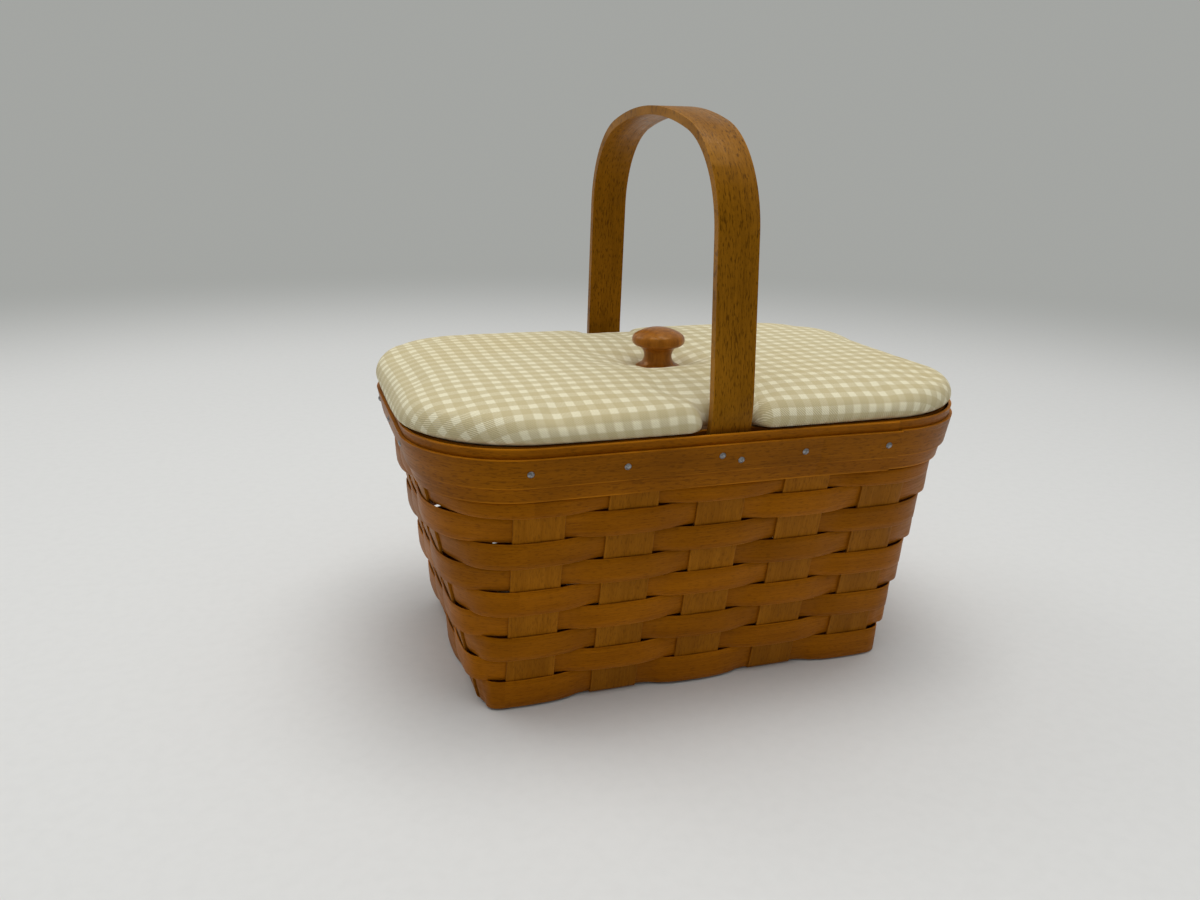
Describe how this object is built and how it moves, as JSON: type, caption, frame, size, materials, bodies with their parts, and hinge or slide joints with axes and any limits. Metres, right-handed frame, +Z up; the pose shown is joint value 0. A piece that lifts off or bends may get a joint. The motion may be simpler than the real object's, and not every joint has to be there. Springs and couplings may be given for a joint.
{
  "type": "lidded sewing basket",
  "caption": "Rectangular woven splint basket with flared walls, a fixed bent-wood handle and a padded, checked-cloth lift-off lid with a turned knob, for sewing things.",
  "frame": {"origin": "middle of the base, on the surface that it stands on", "axes": "+X along the basket's length, +Y from front to back across the handle's span, +Z up"},
  "size_m": [0.2752, 0.1881, 0.2706],
  "materials": {
    "stake_splint": "amber stained splint, satin",
    "weaver_splint": "amber stained splint, satin",
    "band_splint": "amber stained splint, satin",
    "bent_handle": "amber stained bent wood, satin",
    "steel_fixing": "plain steel",
    "turned_knob": "red-brown stained, glossy",
    "lid_wood": "plain board",
    "gingham_cover": "cream and khaki checked cotton",
    "pad_foam": "foam pad"
  },
  "bodies": {
    "basket": {"base_filler_1": "stake_splint", "base_filler_2": "stake_splint", "cross_stake_1": "stake_splint", "cross_stake_2": "stake_splint", "cross_stake_3": "stake_splint", "cross_stake_4": "stake_splint", "cross_stake_5": "stake_splint", "handle": "bent_handle", "inner_band": "band_splint", "long_stake_1": "stake_splint", "long_stake_2": "stake_splint", "long_stake_3": "stake_splint", "outer_band": "band_splint", "tack_back_1": "steel_fixing", "tack_back_2": "steel_fixing", "tack_back_3": "steel_fixing", "tack_back_4": "steel_fixing", "tack_back_5": "steel_fixing", "tack_back_6": "steel_fixing", "tack_front_1": "steel_fixing", "tack_front_2": "steel_fixing", "tack_front_3": "steel_fixing", "tack_front_4": "steel_fixing", "tack_front_5": "steel_fixing", "tack_front_6": "steel_fixing", "tack_left_1": "steel_fixing", "tack_left_2": "steel_fixing", "tack_left_3": "steel_fixing", "tack_right_1": "steel_fixing", "tack_right_2": "steel_fixing", "tack_right_3": "steel_fixing", "trim_band": "band_splint", "weaver_row_1": "weaver_splint", "weaver_row_2": "weaver_splint", "weaver_row_3": "weaver_splint", "weaver_row_4": "weaver_splint", "weaver_row_5": "weaver_splint", "weaver_row_6": "weaver_splint", "weaver_row_7": "weaver_splint", "weaver_row_8": "weaver_splint", "weaver_row_9": "weaver_splint"},
    "lid": {"knob": "turned_knob", "knob_screw": "steel_fixing", "knob_washer": "steel_fixing", "lid_board": "lid_wood", "lid_cover": "gingham_cover", "lid_foam": "pad_foam", "lid_panel": "lid_wood", "panel_screw_1": "steel_fixing", "panel_screw_2": "steel_fixing", "panel_screw_3": "steel_fixing", "panel_screw_4": "steel_fixing"}
  },
  "joints": [
    {"name": "lid_lift", "type": "slide", "parent": "basket", "child": "lid", "axis": [0, 0, 1], "range_m": [0, 0.05]}
  ]
}
